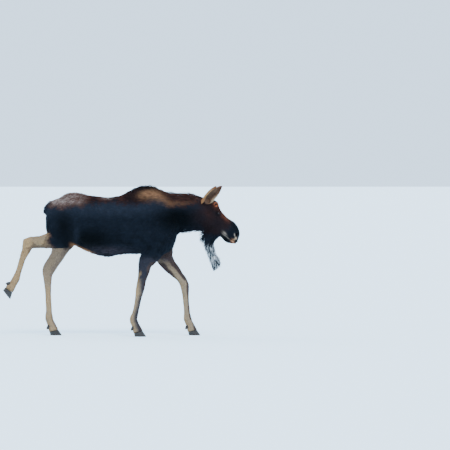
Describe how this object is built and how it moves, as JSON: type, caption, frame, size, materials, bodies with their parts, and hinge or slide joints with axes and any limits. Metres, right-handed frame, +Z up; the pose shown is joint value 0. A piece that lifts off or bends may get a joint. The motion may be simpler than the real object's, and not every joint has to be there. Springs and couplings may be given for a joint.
{
  "type": "moose",
  "caption": "Life-size bull moose in winter coat, walking with head lowered, antlers shed, a long bell at the throat and the right hind leg lifted behind.",
  "frame": {"origin": "on the floor, under the middle of the animal's length, width and height box", "axes": "+Z up; the animal faces -Y; its left side is +X"},
  "size_m": [0.5979, 2.8333, 1.8062],
  "materials": {
    "coat": "coarse near-black winter hair",
    "leg_coat": "short grey-tan hair",
    "ear_coat": "short brown hair",
    "horn": "dull hoof horn",
    "bone": "healing skin where the antler was shed",
    "eye": "wet dark eye"
  },
  "bodies": {
    "root": {"bell": "coat", "dewclaw_front_left_inner": "horn", "dewclaw_front_left_outer": "horn", "dewclaw_front_right_inner": "horn", "dewclaw_front_right_outer": "horn", "dewclaw_rear_left_inner": "horn", "dewclaw_rear_left_outer": "horn", "dewclaw_rear_right_inner": "horn", "dewclaw_rear_right_outer": "horn", "ear_left": "ear_coat", "ear_right": "ear_coat", "eye_left": "eye", "eye_right": "eye", "foreleg_left_lower": "leg_coat", "foreleg_left_upper": "coat", "foreleg_right_lower": "leg_coat", "foreleg_right_upper": "coat", "head": "coat", "hind_leg_left_lower": "leg_coat", "hind_leg_left_upper": "leg_coat", "hind_leg_right_lower": "leg_coat", "hind_leg_right_upper": "leg_coat", "hoof_front_left_inner": "horn", "hoof_front_left_outer": "horn", "hoof_front_right_inner": "horn", "hoof_front_right_outer": "horn", "hoof_rear_left_inner": "horn", "hoof_rear_left_outer": "horn", "hoof_rear_right_inner": "horn", "hoof_rear_right_outer": "horn", "lower_jaw": "coat", "neck": "coat", "pedicle_left": "bone", "pedicle_right": "bone", "tail": "coat", "trunk": "coat"}
  },
  "joints": []
}
